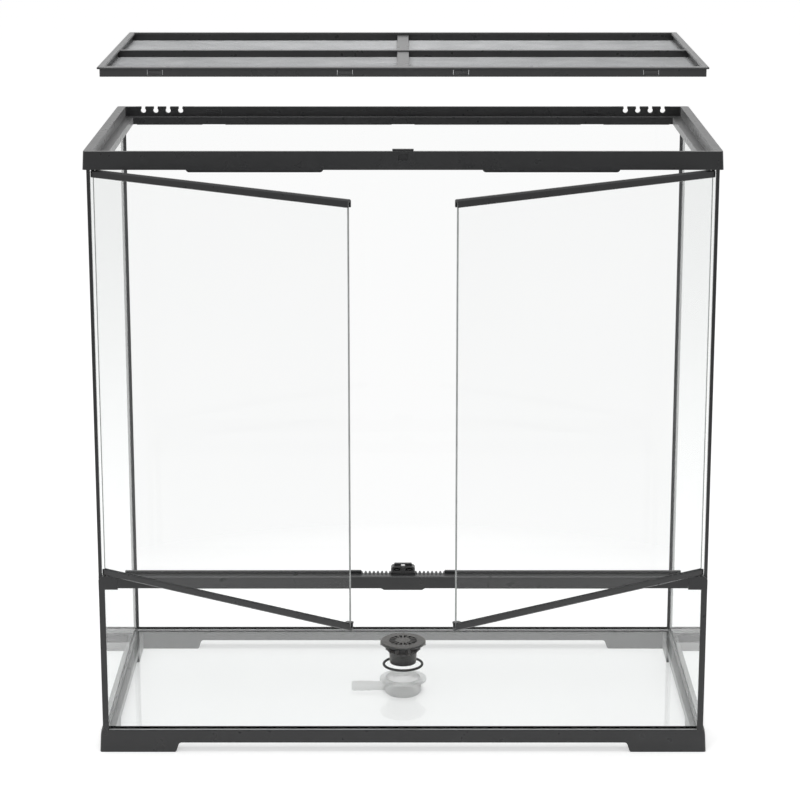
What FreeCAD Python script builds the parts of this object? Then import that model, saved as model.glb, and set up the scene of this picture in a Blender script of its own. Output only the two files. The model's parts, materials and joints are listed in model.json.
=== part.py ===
import FreeCAD, Part
import math
import os

Vector = FreeCAD.Vector
os.makedirs("parts", exist_ok=True)

# A front-opening glass tank with two doors, a screen lid and a floor drain.
# Millimetres. X is right, Y is back, Z is up, and the origin is on the floor
# under the middle of the base.

# Overall sizes
width = 900.0
depth = 450.0
height = 900.0

# Glass panes and the silicone beads between them
pane = 5.0
floor_pane = 6.0
door_pane = 4.0
frame_wall = 5.0
bond = 0.2
bead = 4.4

# Base frame
base_height = 33.5
base_rail = 22.0
foot_height = 14.6
foot_length = 118.0
foot_depth = 92.0
foot_slope = 4.5
foot_fillet = 5.0
foot_toe = 4.0
foot_lead_height = 1.2
foot_lead_length = 2.0
frame_corner = 4.0
draft = 1.3
shoulder_width = 1.1
shoulder_height = 8.0

# Crossbar below the doors
bar_bottom = 255.0
bar_height = 18.0
bar_front = 2.5
bar_depth = 16.0
bar_chamfer = 1.5
bar_bite = 7.3
lip_width = 64.0
lip_drop = 2.5
lip_slope = 4.0
lip_thick = 2.0

# Corner posts and edge trims
post_face = 9.0
arm_length = 28.0
arm_drop = 2.0
arm_notch = 5.0
post_round = 1.0
tenon_length = 16.0
tenon_depth = 4.0
tenon_height = 10.0
tenon_setback = 2.0
tenon_drop = 4.0

# Vent comb and its cover strips
vent_thick = 3.0
vent_height = 18.0
vent_rise = 3.0
vent_pitch = 6.0
vent_slot = 4.0
vent_slot_foot = 1.4
vent_slot_depth = 3.4
vent_margin = 39.0
cover_start = 61.0
cover_wall = 1.3

# Doors
door_open = 33.0
door_gap = 2.0
rail_setback = 1.0
rail_depth = 8.0
rail_chamfer = 2.0
top_rail_height = 11.0
bottom_rail_height = 10.0
rail_web = 4.0
rail_overhang = 1.5
door_end = 7.0
door_clear = 0.4
door_head_clear = 1.0
pivot_inset = 13.0
pin_radius = 2.5
pin_reach = 7.0
pin_root = 3.5
pin_fit = 0.3
root_fit = 0.05

# Lock between the doors
lock_width = 35.0
lock_depth = 13.3
lock_height = 12.0
lock_setback = 0.7
lock_wall = 1.5
lock_shoulder = 2.5
clip_width = 20.0
clip_height = 11.0
button_width = 26.0
button_depth = 5.0
button_rise = 3.0
button_body = 10.0
button_travel = 3.0
button_fit = 0.3
button_round = 1.2
pocket_height = 5.0
pocket_side = 1.5
pocket_wall = 1.0
slot_width = 5.6
slot_run = 4.2
sight_drop = 2.2
sight_height = 3.2
sight_bar = 1.6
hook_inner = 4.5
hook_width = 9.0
hook_reach = 6.3
hook_height = 3.6
hook_notch = 1.8
hook_tip = 1.8
hook_fit = 0.4
hook_root = 1.0
hook_lead = 1.0
tooth_width = 5.0
tooth_thick = 1.0
tooth_bite = 1.3
spring_strip = 0.4
spring_width = 2.0
spring_folds = 4
spring_span = 9.0

# Top frame
top_height = 26.0
rim_front = 7.0
rim_side = 14.0
seat_drop = 15.0
seat_front = 12.0
seat_side = 13.0
groove_depth = 8.0
groove_end = 0.3
opening_round = 2.0
lip_start_share = 0.1245
lip_end_share = 0.34
lip_height = 5.5
lip_wall = 3.0
lip_gap = 1.0
lip_end_round = 5.0
rear_lip_height = 1.6
rear_lip_gap = 18.0
rear_lip_margin = 22.0
side_lip_start = 20.0
side_lip_margin = 20.0
catch_share = 0.33
catch_width = 24.0
catch_height = 7.0
catch_thick = 2.0
catch_proud = 1.0
catch_rise = 3.5

# Latch in the middle of the front rim
latch_width = 30.0
latch_thick = 3.8
latch_rise = 3.0
latch_nose = 1.9
latch_travel = 2.5
latch_fit = 0.3
latch_clear = 0.5
latch_foot = 1.0
latch_round = 1.0
window_width = 14.0
window_height = 9.5
window_sill = 1.0

# Cable inlets in the rear rim and the sliders that close them
inlet_margin = 42.0
inlet_pitch = 19.5
inlet_count = 4
inlet_radius = 4.0
inlet_neck = 4.8
inlet_mouth = 6.4
inlet_depth = 10.0
slider_thick = 1.8
slider_fit = 0.3
slider_end = 11.5
slider_inset = 1.9

# Screen lid
lid_lift = 118.0
lid_height = 14.0
lid_gap_side = 9.0
lid_gap_front = 2.8
lid_seat_gap = 0.2
flange_overhang = 3.5
flange_inner = 3.5
flange_thick = 3.0
flange_chamfer = 1.2
flange_round = 3.0
skirt_wall = 2.5
skirt_round = 2.0
well_round = 1.0
screen_ledge = 6.0
screen_ledge_thick = 1.5
web_thick = 4.0
web_drop = 2.0
web_cap = 10.0
web_cap_thick = 2.0
cross_width = 17.0
cross_wall = 2.0
cross_drop = 4.0
cross_round = 1.0
tab_width = 22.0
tab_height = 8.0
tab_slit = 0.8
tab_hook_width = 17.0
tab_hook_height = 4.2
tab_hook_proud = 1.5
tab_drop = 1.5
tab_inner = 81.0
tab_margin = 81.0
screen_thick = 0.8
screen_wire = 1.2
screen_columns = 12
screen_rows = 6
screen_fit = 0.3

# Drain
drain_hole = 26.0
strainer_lift = 52.0
seal_lift = 19.0
strainer_radius = 35.5
strainer_thick = 4.0
strainer_edge = 1.5
strainer_crown = 10.0
strainer_fall = 0.5
strainer_slots = 16
strainer_slot_inner = 11.4
strainer_slot_outer = 22.0
strainer_bar = 2.2
spigot_top = 23.0
spigot_bottom = 20.5
spigot_length = 32.0
spigot_wall = 2.5
spigot_windows = 8
spigot_window_width = 11.0
spigot_window_height = 10.5
spigot_window_drop = 2.0
spigot_window_round = 1.5
bayonet_width = 4.6
bayonet_height = 16.0
bayonet_reach = 2.5
bayonet_nose = 5.0
rim_tooth_count = 8
rim_tooth_width = 6.0
rim_tooth_height = 3.6
rim_tooth_inner = 32.6
rim_tooth_outer = 35.3
rim_tooth_lean = 0.8
seal_outer = 32.0
seal_cord = 4.0
seal_gap = 0.2
elbow_radius = 36.5
elbow_flange = 3.0
elbow_wall = 2.5
elbow_clear = 3.0
elbow_floor = 2.0
elbow_taper = 4.0
elbow_fillet = 1.5
barb_bore = 6.0
barb_radius = 8.3
barb_step = 1.2
barb_length = 52.0
barb_count = 3
barb_pitch = 11.0
barb_height = 14.0

# Values that follow from the sizes above
side_x = width / 2
front_y = -depth / 2
glass_x = side_x - frame_wall
glass_y = depth / 2 - frame_wall
inner_x = glass_x - pane
window_front = -glass_y
window_back = window_front + pane
back_inner = glass_y - pane
ledge_z = base_height - floor_pane
bar_top = bar_bottom + bar_height
bar_y = window_front - bar_front
bar_back = bar_y + bar_depth
arm_x = glass_x - arm_length
top_z = height - top_height
seat_z = height - seat_drop
glass_top = top_z + groove_depth - groove_end
open_x = side_x - rim_side
open_y = depth / 2 - rim_front
pivot_x = glass_x - pivot_inset
pivot_y = bar_y + rail_setback + rail_depth / 2
rail_front = pivot_y - rail_depth / 2
rail_back = pivot_y + rail_depth / 2
door_x = glass_x - door_end
door_bottom = bar_top + door_clear
door_top = top_z - door_head_clear
lock_front = rail_back + lock_setback
lock_back = lock_front + lock_depth
lock_top = bar_top + lock_height
button_back = lock_back - lock_wall - button_fit
button_front = button_back - button_depth
button_top = lock_top + button_rise
button_bottom = button_top - button_body
hook_top = lock_top - lock_wall - hook_fit
hook_bottom = hook_top - hook_height
hook_back = rail_back + hook_reach
seal_z = base_height + seal_gap
strainer_z = seal_z + seal_cord + seal_gap
vent_inner = lock_width / 2 + bond
vent_outer = glass_x - vent_margin
catch_spacing = width * catch_share
overlap = 1.0


# Shape helpers

def along(axis):
    """Places a flat outline so that it can be drawn out along the axis."""
    if axis == "x":
        return lambda p: Vector(0, p.x, p.y)
    if axis == "y":
        return lambda p: Vector(p.x, 0, p.y)
    return lambda p: Vector(p.x, p.y, 0)


def outline(points, place):
    """A closed wire; a point is (a, b), or (a, b, r) where r rounds its corner."""
    flat = [Vector(p[0], p[1], 0) for p in points]
    corners = []
    for i, point in enumerate(points):
        if len(point) == 2:
            corners.append((flat[i],))
            continue
        radius = point[2]
        to_last = (flat[i - 1] - flat[i]).normalize()
        to_next = (flat[(i + 1) % len(flat)] - flat[i]).normalize()
        half = to_last.getAngle(to_next) / 2
        reach = radius / math.tan(half)
        inward = (to_last + to_next).normalize()
        middle = flat[i] + inward * (radius / math.sin(half) - radius)
        corners.append((flat[i] + to_last * reach, middle, flat[i] + to_next * reach))
    edges = []
    for i, corner in enumerate(corners):
        if len(corner) == 3:
            edges.append(Part.Arc(*[place(p) for p in corner]).toShape())
        start = corner[-1]
        end = corners[(i + 1) % len(corners)][0]
        if (end - start).Length > 1e-6:
            edges.append(Part.makeLine(place(start), place(end)))
    return Part.Wire(edges)


def drawn(points, axis, start, end):
    """A profile drawn out along an axis: (y, z) along x, (x, z) along y, (x, y) along z."""
    step = {"x": Vector(1, 0, 0), "y": Vector(0, 1, 0), "z": Vector(0, 0, 1)}[axis]
    face = Part.Face(outline(points, along(axis)))
    solid = face.extrude(step * (end - start))
    solid.translate(step * start)
    return solid


def rectangle(x0, x1, y0, y1, radius=0.0):
    points = [(x0, y0), (x1, y0), (x1, y1), (x0, y1)]
    if radius > 0:
        return [(x, y, radius) for x, y in points]
    return points


def block(x0, x1, y0, y1, z0, z1):
    return Part.makeBox(x1 - x0, y1 - y0, z1 - z0, Vector(x0, y0, z0))


def plate(half_x, half_y, z0, z1, radius=0.0):
    return drawn(rectangle(-half_x, half_x, -half_y, half_y, radius), "z", z0, z1)


def tapered(low_x, low_y, z0, high_x, high_y, z1, radius):
    """A rounded block whose faces lean by a draft."""
    wires = []
    for half_x, half_y, z in ((low_x, low_y, z0), (high_x, high_y, z1)):
        wire = outline(rectangle(-half_x, half_x, -half_y, half_y, radius), along("z"))
        wire.translate(Vector(0, 0, z))
        wires.append(wire)
    return Part.makeLoft(wires, True, True)


def revolved(points):
    """A profile of (radius, z) points turned about the drain's axis."""
    face = Part.Face(outline(points, along("y")))
    return face.revolve(Vector(0, 0, 0), Vector(0, 0, 1), 360)


def around(shape, count, start=0.0):
    """Copies of a shape set evenly about the drain's axis."""
    copies = []
    for i in range(count):
        copy = shape.copy()
        copy.rotate(Vector(0, 0, 0), Vector(0, 0, 1), start + 360.0 * i / count)
        copies.append(copy)
    return copies


def mirrored(shape):
    return shape.mirror(Vector(0, 0, 0), Vector(1, 0, 0))


def both(shape):
    return [shape, mirrored(shape)]


def save(name, shape):
    shape = shape.removeSplitter()
    print(name, "solids", len(shape.Solids), "valid", shape.isValid())
    shape.exportStep("parts/" + name + ".step")


def save_pair(name, right):
    save("right_" + name, right)
    save("left_" + name, mirrored(right))


# Base frame: a drafted ring with a ledge for the panes and four curved feet

def foot_gap(half_length, foot):
    """The space between two feet, with a fillet at its roof and an eased toe."""
    roof = half_length - foot
    toe = roof + foot_slope
    lead = toe + 2 * foot_lead_length
    return [
        (lead, -foot_lead_height), (toe, foot_lead_height, foot_toe),
        (roof, foot_height, foot_fillet), (-roof, foot_height, foot_fillet),
        (-toe, foot_lead_height, foot_toe), (-lead, -foot_lead_height),
    ]


def base_frame():
    body_x = side_x - draft
    body_y = -front_y - draft
    shoulder_z = base_height - shoulder_height
    body = tapered(side_x, -front_y, 0, body_x, body_y, shoulder_z, frame_corner)
    shoulder = tapered(body_x, body_y, shoulder_z, body_x - shoulder_width,
                       body_y - shoulder_width, base_height, frame_corner)
    hole = plate(side_x - base_rail, -front_y - base_rail, -overlap, base_height + overlap)
    pocket = plate(glass_x + bond, glass_y + bond, ledge_z, base_height + overlap)
    front_gap = drawn(foot_gap(side_x, foot_length), "y", front_y - overlap, -front_y + overlap)
    side_gap = drawn(foot_gap(-front_y, foot_depth), "x", -side_x - overlap, side_x + overlap)
    return body.fuse(shoulder).cut([hole, pocket, front_gap, side_gap])


# Panes

def side_pane():
    return block(inner_x, glass_x, window_back, glass_y, ledge_z, glass_top)


def back_pane():
    return block(-inner_x + bond, inner_x - bond, back_inner, glass_y, ledge_z, glass_top)


def bottom_pane():
    sheet = block(-inner_x + bond, inner_x - bond, window_back + bond, back_inner - bond,
                  ledge_z, base_height)
    return sheet.cut(Part.makeCylinder(drain_hole, floor_pane, Vector(0, 0, ledge_z)))


def front_window():
    return block(-inner_x + bond, inner_x - bond, window_front, window_back,
                 ledge_z, bar_bottom + bar_bite - groove_end)


def rear_seams():
    corner = [(inner_x, back_inner), (inner_x, back_inner - bead), (inner_x - bead, back_inner)]
    bead_right = drawn(corner, "z", base_height + bead, top_z)
    return Part.makeCompound(both(bead_right))


def floor_seams():
    middle = (window_back + back_inner) / 2
    half_y = (back_inner - window_back) / 2
    ring = plate(inner_x, half_y, base_height, base_height + bead)
    slope = tapered(inner_x - bead, half_y - bead, base_height, inner_x, half_y,
                    base_height + bead, bond)
    ring = ring.cut(slope)
    ring.translate(Vector(0, middle, 0))
    return ring


# Crossbar, posts, trims and vents

def crossbar():
    slot_front = window_front - bond
    slot_back = window_back + bond
    slot_top = bar_bottom + bar_bite
    section = [
        (bar_y, bar_bottom), (slot_front, bar_bottom), (slot_front, slot_top),
        (slot_back, slot_top), (slot_back, bar_bottom), (bar_back, bar_bottom),
        (bar_back, bar_top), (bar_y + bar_chamfer, bar_top), (bar_y, bar_top - bar_chamfer),
    ]
    end = arm_x - bond
    bar = drawn(section, "x", -end, end)
    half = lip_width / 2
    lip = drawn([
        (-half, bar_bottom), (-half + lip_slope, bar_bottom - lip_drop),
        (half - lip_slope, bar_bottom - lip_drop), (half, bar_bottom),
    ], "y", bar_y, bar_y + lip_thick)
    return bar.fuse([lip] + both(tenon(0.0)))


def tenon(grow):
    """The tongue at a bar's end; grow widens it into the socket that takes it."""
    y0 = bar_back - tenon_setback - tenon_depth
    z0 = bar_top - tenon_drop - tenon_height
    return block(arm_x - bond, arm_x + tenon_length + grow, y0 - grow, y0 + tenon_depth + grow,
                 z0 - grow, z0 + tenon_height + grow)


def post():
    face_inner = glass_x - post_face
    section = [
        (face_inner, bar_y, post_round), (glass_x, bar_y, post_round),
        (glass_x, window_back - bond),
        (inner_x, window_back - bond), (inner_x, window_front), (face_inner, window_front),
    ]
    arm_bottom = bar_bottom - arm_drop
    upright = drawn(section, "z", base_height, arm_bottom)
    arm = drawn([
        (arm_x, arm_bottom), (glass_x, arm_bottom), (glass_x, bar_top),
        (arm_x, bar_top),
    ], "y", bar_y, bar_back)
    notch = drawn([
        (glass_x - arm_notch, bar_top), (glass_x, bar_top - arm_notch),
        (glass_x + arm_notch, bar_top),
    ], "y", bar_y - overlap, window_front)
    window_slot = block(arm_x - overlap, inner_x, window_front, window_back + bond,
                        arm_bottom - overlap, bar_bottom + bar_bite)
    pane_slot = block(inner_x - bond, glass_x + overlap, window_back - bond, bar_back + overlap,
                      arm_bottom - overlap, bar_top + overlap)
    pivot = Part.makeCylinder(pin_radius + pin_fit, pin_reach + pin_fit + overlap,
                              Vector(pivot_x, pivot_y, door_bottom - pin_reach - pin_fit))
    arm = arm.cut([notch, window_slot, pane_slot, pivot, tenon(bond)])
    return upright.fuse(arm)


def edge_trim():
    section = [
        (inner_x, window_front, post_round), (glass_x, window_front, post_round),
        (glass_x, window_back - bond), (inner_x, window_back - bond),
    ]
    return drawn(section, "z", bar_top, glass_top)


def vent_comb():
    comb_top = bar_top + vent_rise
    strip = block(-vent_outer, vent_outer, bar_back, bar_back + vent_thick,
                  comb_top - vent_height, comb_top)
    cuts = [block(-vent_inner, vent_inner, bar_back - overlap, bar_back + vent_thick + overlap,
                  bar_top, comb_top + overlap)]
    slots = int((vent_outer - vent_inner - vent_slot) / vent_pitch)
    for i in range(slots):
        x = vent_inner + vent_slot + i * vent_pitch
        slot = drawn([
            (x - vent_slot_foot / 2, comb_top - vent_slot_depth),
            (x + vent_slot_foot / 2, comb_top - vent_slot_depth),
            (x + vent_slot / 2, comb_top), (x + vent_slot / 2, comb_top + overlap),
            (x - vent_slot / 2, comb_top + overlap), (x - vent_slot / 2, comb_top),
        ], "y", bar_back - overlap, bar_back + vent_thick + overlap)
        cuts += both(slot)
    return strip.cut(cuts)


def vent_cover():
    """An angle strip that stands on the bar and folds over the comb."""
    outer = bar_back - bond - cover_wall
    lid_low = bar_top + vent_rise + bond
    section = [
        (outer, bar_top), (outer + cover_wall, bar_top), (outer + cover_wall, lid_low),
        (bar_back + vent_thick, lid_low), (bar_back + vent_thick, lid_low + cover_wall),
        (outer, lid_low + cover_wall, cover_wall),
    ]
    return drawn(section, "x", cover_start, vent_outer)


# Lock: a housing that clips over the bar, a push button and its spring

def lock_housing():
    half = lock_width / 2
    body = drawn([
        (-half, bar_top), (half, bar_top), (half, lock_top - lock_shoulder),
        (half - lock_shoulder, lock_top), (lock_shoulder - half, lock_top),
        (-half, lock_top - lock_shoulder),
    ], "y", lock_front, lock_back)
    clip = block(-clip_width / 2, clip_width / 2, bar_back + vent_thick + bond, lock_back,
                 bar_top - clip_height, bar_top)
    well_half = button_width / 2 + button_fit
    well = block(-well_half, well_half, button_front - button_fit, button_back + button_fit,
                 bar_top + lock_wall, lock_top + overlap)
    cuts = [well]
    hook_mid = hook_inner + hook_width / 2
    mouth_half = hook_width / 2 + 2 * hook_fit
    mouth = block(hook_mid - mouth_half, hook_mid + mouth_half, lock_front - overlap,
                  button_front, hook_bottom - 2 * hook_fit, hook_top + hook_fit)
    throat_half = tooth_width / 2 + hook_fit
    throat = block(hook_mid - throat_half, hook_mid + throat_half,
                   tooth_front() - hook_fit, button_front, bar_top + lock_wall,
                   hook_top + hook_fit)
    cuts += both(mouth) + both(throat)
    sight_z = lock_top - sight_drop
    ramp = drawn([
        (lock_front - overlap, bar_top + lock_wall), (lock_front, bar_top + lock_wall),
        (lock_front + slot_run, sight_z), (lock_back + overlap, sight_z),
        (lock_back + overlap, lock_top + overlap), (lock_front - overlap, lock_top + overlap),
    ], "x", -slot_width / 2, slot_width / 2)
    return body.fuse(clip).cut(cuts + [ramp])


def tooth_front():
    """Front face of the button's tooth, in the middle of the hook's notch."""
    notch_back = hook_back - hook_tip
    return notch_back - hook_notch / 2 - tooth_thick / 2


def lock_button():
    half = button_width / 2
    body = drawn([
        (-half, button_bottom), (half, button_bottom), (half, button_top, button_round),
        (-half, button_top, button_round),
    ], "y", button_front, button_back)
    pocket_half = spring_span / 2 + pocket_side
    pocket = block(-pocket_half, pocket_half, button_front + pocket_wall,
                   button_back - pocket_wall, button_bottom - overlap,
                   button_bottom + pocket_height)
    arm_top = hook_bottom - hook_fit
    hook_mid = hook_inner + hook_width / 2
    front = tooth_front()
    profile = [
        (button_front, button_bottom), (button_front, arm_top), (front + tooth_thick, arm_top),
        (front + tooth_thick, hook_bottom + tooth_bite), (front, hook_bottom + tooth_bite),
        (front, button_bottom),
    ]
    tooth = drawn(profile, "x", hook_mid - tooth_width / 2, hook_mid + tooth_width / 2)
    sight_top = button_top - sight_bar
    sight = block(-slot_width / 2, slot_width / 2, button_front - overlap, button_back + overlap,
                  sight_top - sight_height, sight_top)
    return body.fuse(both(tooth)).cut([pocket, sight])


def lock_spring():
    """A folded strip, drawn at the height that it has with the button pressed."""
    low = bar_top + lock_wall
    high = button_bottom + pocket_height - button_travel - bond
    rise = (high - low) / spring_folds
    half = spring_span / 2
    across = spring_strip * spring_span / rise
    near = []
    far = []
    for i in range(spring_folds + 1):
        z = low + i * rise
        near.append((half if i % 2 else across - half, z))
        far.append((half - across if i % 2 else -half, z))
    middle = (button_front + button_back) / 2
    return drawn(near + far[::-1], "y", middle - spring_width / 2, middle + spring_width / 2)


# Top frame with its lid seat, glass groove, lips, catches, latch and inlets

def inlet_cuts():
    """Keyhole notches of the right-hand inlets, open at the rim's top."""
    cuts = []
    centre_z = height - inlet_depth + inlet_radius
    y0 = open_y - overlap
    y1 = -front_y + overlap
    for i in range(inlet_count):
        x = side_x - inlet_margin - i * inlet_pitch
        cuts.append(Part.makeCylinder(inlet_radius, y1 - y0, Vector(x, y0, centre_z),
                                      Vector(0, 1, 0)))
        flare = [
            (x - inlet_neck / 2, centre_z), (x + inlet_neck / 2, centre_z),
            (x + inlet_mouth / 2, height + overlap), (x - inlet_mouth / 2, height + overlap),
        ]
        cuts.append(drawn(flare, "y", y0, y1))
    return cuts


def slider_span():
    """The right-hand slider's two ends and its two faces."""
    last = side_x - inlet_margin
    first = last - (inlet_count - 1) * inlet_pitch
    y0 = open_y + slider_inset
    return first - slider_end, last + slider_end, y0, y0 + slider_thick


def inlet_slider():
    x0, x1, y0, y1 = slider_span()
    strip = block(x0, x1, y0, y1, seat_z + slider_fit + overlap, height - slider_fit)
    return strip.cut(inlet_cuts())


def slider_slot():
    x0, x1, y0, y1 = slider_span()
    return block(x0 - inlet_pitch / 2 - slider_fit, x1 + slider_fit, y0 - slider_fit,
                 y1 + slider_fit, seat_z + overlap, height + overlap)


def latch_faces():
    """The latch's front and back faces with its nose drawn back from the lid."""
    lid_front = lid_gap_front - open_y
    back = lid_front - latch_travel - latch_clear
    return back - latch_thick, back


def latch_pocket():
    front, back = latch_faces()
    half = latch_width / 2 + latch_fit
    pocket = block(-half, half, front - latch_fit, -open_y + overlap,
                   seat_z + latch_foot, height + overlap)
    opening_z = seat_z + latch_foot + window_sill
    opening = block(-window_width / 2, window_width / 2, front_y - overlap, front,
                    opening_z, opening_z + window_height)
    return [pocket, opening]


def lid_latch():
    front, back = latch_faces()
    low = seat_z + latch_foot + latch_fit
    nose_z = seat_z + lid_seat_gap + lid_height + latch_fit
    top = height + latch_rise
    profile = [
        (front, low), (back, low), (back, nose_z), (back + latch_nose, nose_z),
        (back + latch_nose, top - latch_round), (back + latch_nose - latch_round, top),
        (front, top, latch_round),
    ]
    return drawn(profile, "x", -latch_width / 2, latch_width / 2)


def catch_plates(grow):
    """Three small plates let into the rear wall; grow makes their recesses."""
    plates = []
    z0 = seat_z + catch_rise
    y0 = open_y - catch_proud
    for x in (-catch_spacing, 0.0, catch_spacing):
        half = catch_width / 2 + grow
        plates.append(block(x - half, x + half, y0, y0 + catch_thick,
                            z0 - grow, z0 + catch_height + grow))
    return plates


def hanging_lips():
    lips = []
    lip_y = rail_back + lip_gap
    start = width * lip_start_share
    stop = width * lip_end_share
    z0 = top_z - lip_height
    front = [(start, z0, lip_end_round), (stop, z0, lip_end_round), (stop, top_z), (start, top_z)]
    lips += both(drawn(front, "y", lip_y, lip_y + lip_wall))
    z0 = top_z - rear_lip_height
    y1 = back_inner - bond
    spans = (
        (rear_lip_gap, catch_spacing - rear_lip_gap),
        (catch_spacing + rear_lip_gap, inner_x - rear_lip_margin),
    )
    for start, stop in spans:
        lips += both(block(start, stop, y1 - lip_wall, y1, z0, top_z))
    x1 = inner_x - bond
    side_stop = back_inner - side_lip_margin
    for near, far in ((side_lip_start, side_stop), (-side_stop, -side_lip_start)):
        lips += both(block(x1 - lip_wall, x1, near, far, z0, top_z))
    return lips


def top_frame():
    body = tapered(side_x, -front_y, top_z, side_x - draft, -front_y - draft,
                   height, frame_corner)
    cuts = [
        plate(open_x, open_y, seat_z, height + overlap, opening_round),
        plate(open_x - seat_side, open_y - seat_front, top_z - overlap, seat_z + overlap,
              opening_round),
        block(-glass_x - bond, glass_x + bond, back_inner - bond, glass_y + bond,
              top_z - overlap, top_z + groove_depth),
    ]
    groove = block(inner_x - bond, glass_x + bond, window_front - bond, glass_y + bond,
                   top_z - overlap, top_z + groove_depth)
    pivot = Part.makeCylinder(pin_radius + pin_fit, pin_reach + pin_fit + overlap,
                              Vector(pivot_x, pivot_y, top_z - overlap))
    cuts += both(groove) + both(pivot) + both(slider_slot())
    for cut in inlet_cuts():
        cuts += both(cut)
    cuts += latch_pocket() + catch_plates(bond)
    return body.cut(cuts).fuse(hanging_lips())


# Screen lid, drawn lifted off its seat as it is shown

def lid_sizes():
    """Half sizes of the flange and of the skirt, and the lid's lower and upper faces."""
    flange = (open_x - lid_gap_side, open_y - lid_gap_front)
    skirt = (flange[0] - flange_overhang, flange[1] - flange_overhang)
    low = seat_z + lid_seat_gap + lid_lift
    return flange, skirt, low, low + lid_height


def snap_tab(x, skirt_y, high):
    """The U-shaped slit that frees a snap tab in the front skirt."""
    top = high - flange_thick - tab_drop
    half = tab_width / 2
    slab = block(x - half, x + half, -skirt_y - overlap, -skirt_y + skirt_wall + overlap,
                 top - tab_height, top)
    tongue = block(x - half + tab_slit, x + half - tab_slit, -skirt_y - 2 * overlap,
                   -skirt_y + skirt_wall + 2 * overlap, top - tab_height + tab_slit, top + overlap)
    return slab.cut(tongue)


def snap_hook(x, skirt_y, high):
    """The wedge on a snap tab's face, flat on top and sloped below."""
    top = high - flange_thick - tab_drop - tab_height / 2 + tab_hook_height / 2
    return drawn([
        (overlap - skirt_y, top), (-skirt_y - tab_hook_proud, top),
        (-skirt_y, top - tab_hook_height), (overlap - skirt_y, top - tab_hook_height),
    ], "x", x - tab_hook_width / 2, x + tab_hook_width / 2)


def lid_frame():
    flange, skirt, low, high = lid_sizes()
    wall = skirt_wall
    ledge = wall + screen_ledge
    mouth = wall + flange_inner
    body = plate(skirt[0], skirt[1], low, high, skirt_round)
    edge_z = high - flange_chamfer
    rim = plate(flange[0], flange[1], high - flange_thick, edge_z, flange_round)
    slope = tapered(flange[0], flange[1], edge_z, flange[0] - flange_chamfer,
                    flange[1] - flange_chamfer, high, flange_round)
    body = body.fuse([rim, slope])
    well = plate(skirt[0] - wall, skirt[1] - wall, low + screen_ledge_thick,
                 high - flange_thick, well_round)
    top_hole = plate(skirt[0] - mouth, skirt[1] - mouth, high - flange_thick - overlap,
                     high + overlap, well_round)
    low_hole = plate(skirt[0] - ledge, skirt[1] - ledge, low - overlap,
                     low + screen_ledge_thick + overlap, well_round)
    body = body.cut([well, top_hole, low_hole])
    foot = web_thick / 2 + screen_ledge
    stem = web_thick / 2
    cap = web_cap / 2
    top = high - web_drop
    cap_low = top - web_cap_thick
    web = drawn([
        (-foot, low), (foot, low), (foot, low + screen_ledge_thick),
        (stem, low + screen_ledge_thick), (stem, cap_low), (cap, cap_low), (cap, top),
        (-cap, top), (-cap, cap_low), (-stem, cap_low), (-stem, low + screen_ledge_thick),
        (-foot, low + screen_ledge_thick),
    ], "x", wall - skirt[0], skirt[0] - wall)
    half = cross_width / 2
    brim = half + screen_ledge
    roof = high - cross_drop
    cross = drawn([
        (-brim, low), (cross_wall - half, low), (cross_wall - half, roof - cross_wall),
        (half - cross_wall, roof - cross_wall), (half - cross_wall, low), (brim, low),
        (brim, low + screen_ledge_thick), (half, low + screen_ledge_thick), (half, roof, cross_round),
        (-half, roof, cross_round), (-half, low + screen_ledge_thick),
        (-brim, low + screen_ledge_thick),
    ], "y", wall - skirt[1], skirt[1] - wall)
    slits = []
    hooks = []
    for x in (tab_inner, flange[0] - tab_margin):
        slits += both(snap_tab(x, skirt[1], high))
        hooks += both(snap_hook(x, skirt[1], high))
    return body.fuse([web, cross]).cut(slits).fuse(hooks)


def lid_screen(side_y):
    """One holed sheet that lies on the lid's ledges, right of the cross bar."""
    flange, skirt, low, high = lid_sizes()
    x0 = cross_width / 2 + screen_fit
    x1 = skirt[0] - skirt_wall - screen_fit
    y0 = web_thick / 2 + screen_fit
    y1 = skirt[1] - skirt_wall - screen_fit
    place = along("z")
    border = screen_ledge
    step_x = (x1 - x0 - 2 * border - screen_wire) / screen_columns
    step_y = (y1 - y0 - 2 * border - screen_wire) / screen_rows
    wires = [outline(rectangle(x0, x1, y0, y1), place)]
    for i in range(screen_columns):
        for j in range(screen_rows):
            gap_x = x0 + border + screen_wire + i * step_x
            gap_y = y0 + border + screen_wire + j * step_y
            wires.append(outline(rectangle(gap_x, gap_x + step_x - screen_wire,
                                           gap_y, gap_y + step_y - screen_wire), place))
    sheet = Part.Face(wires, "Part::FaceMakerBullseye").extrude(Vector(0, 0, screen_thick))
    sheet.translate(Vector(0, 0, low + screen_ledge_thick))
    if side_y < 0:
        sheet = sheet.mirror(Vector(0, 0, 0), Vector(0, 1, 0))
    return sheet


# Drain: strainer and seal lifted out as they are shown, and the elbow below the floor

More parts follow.
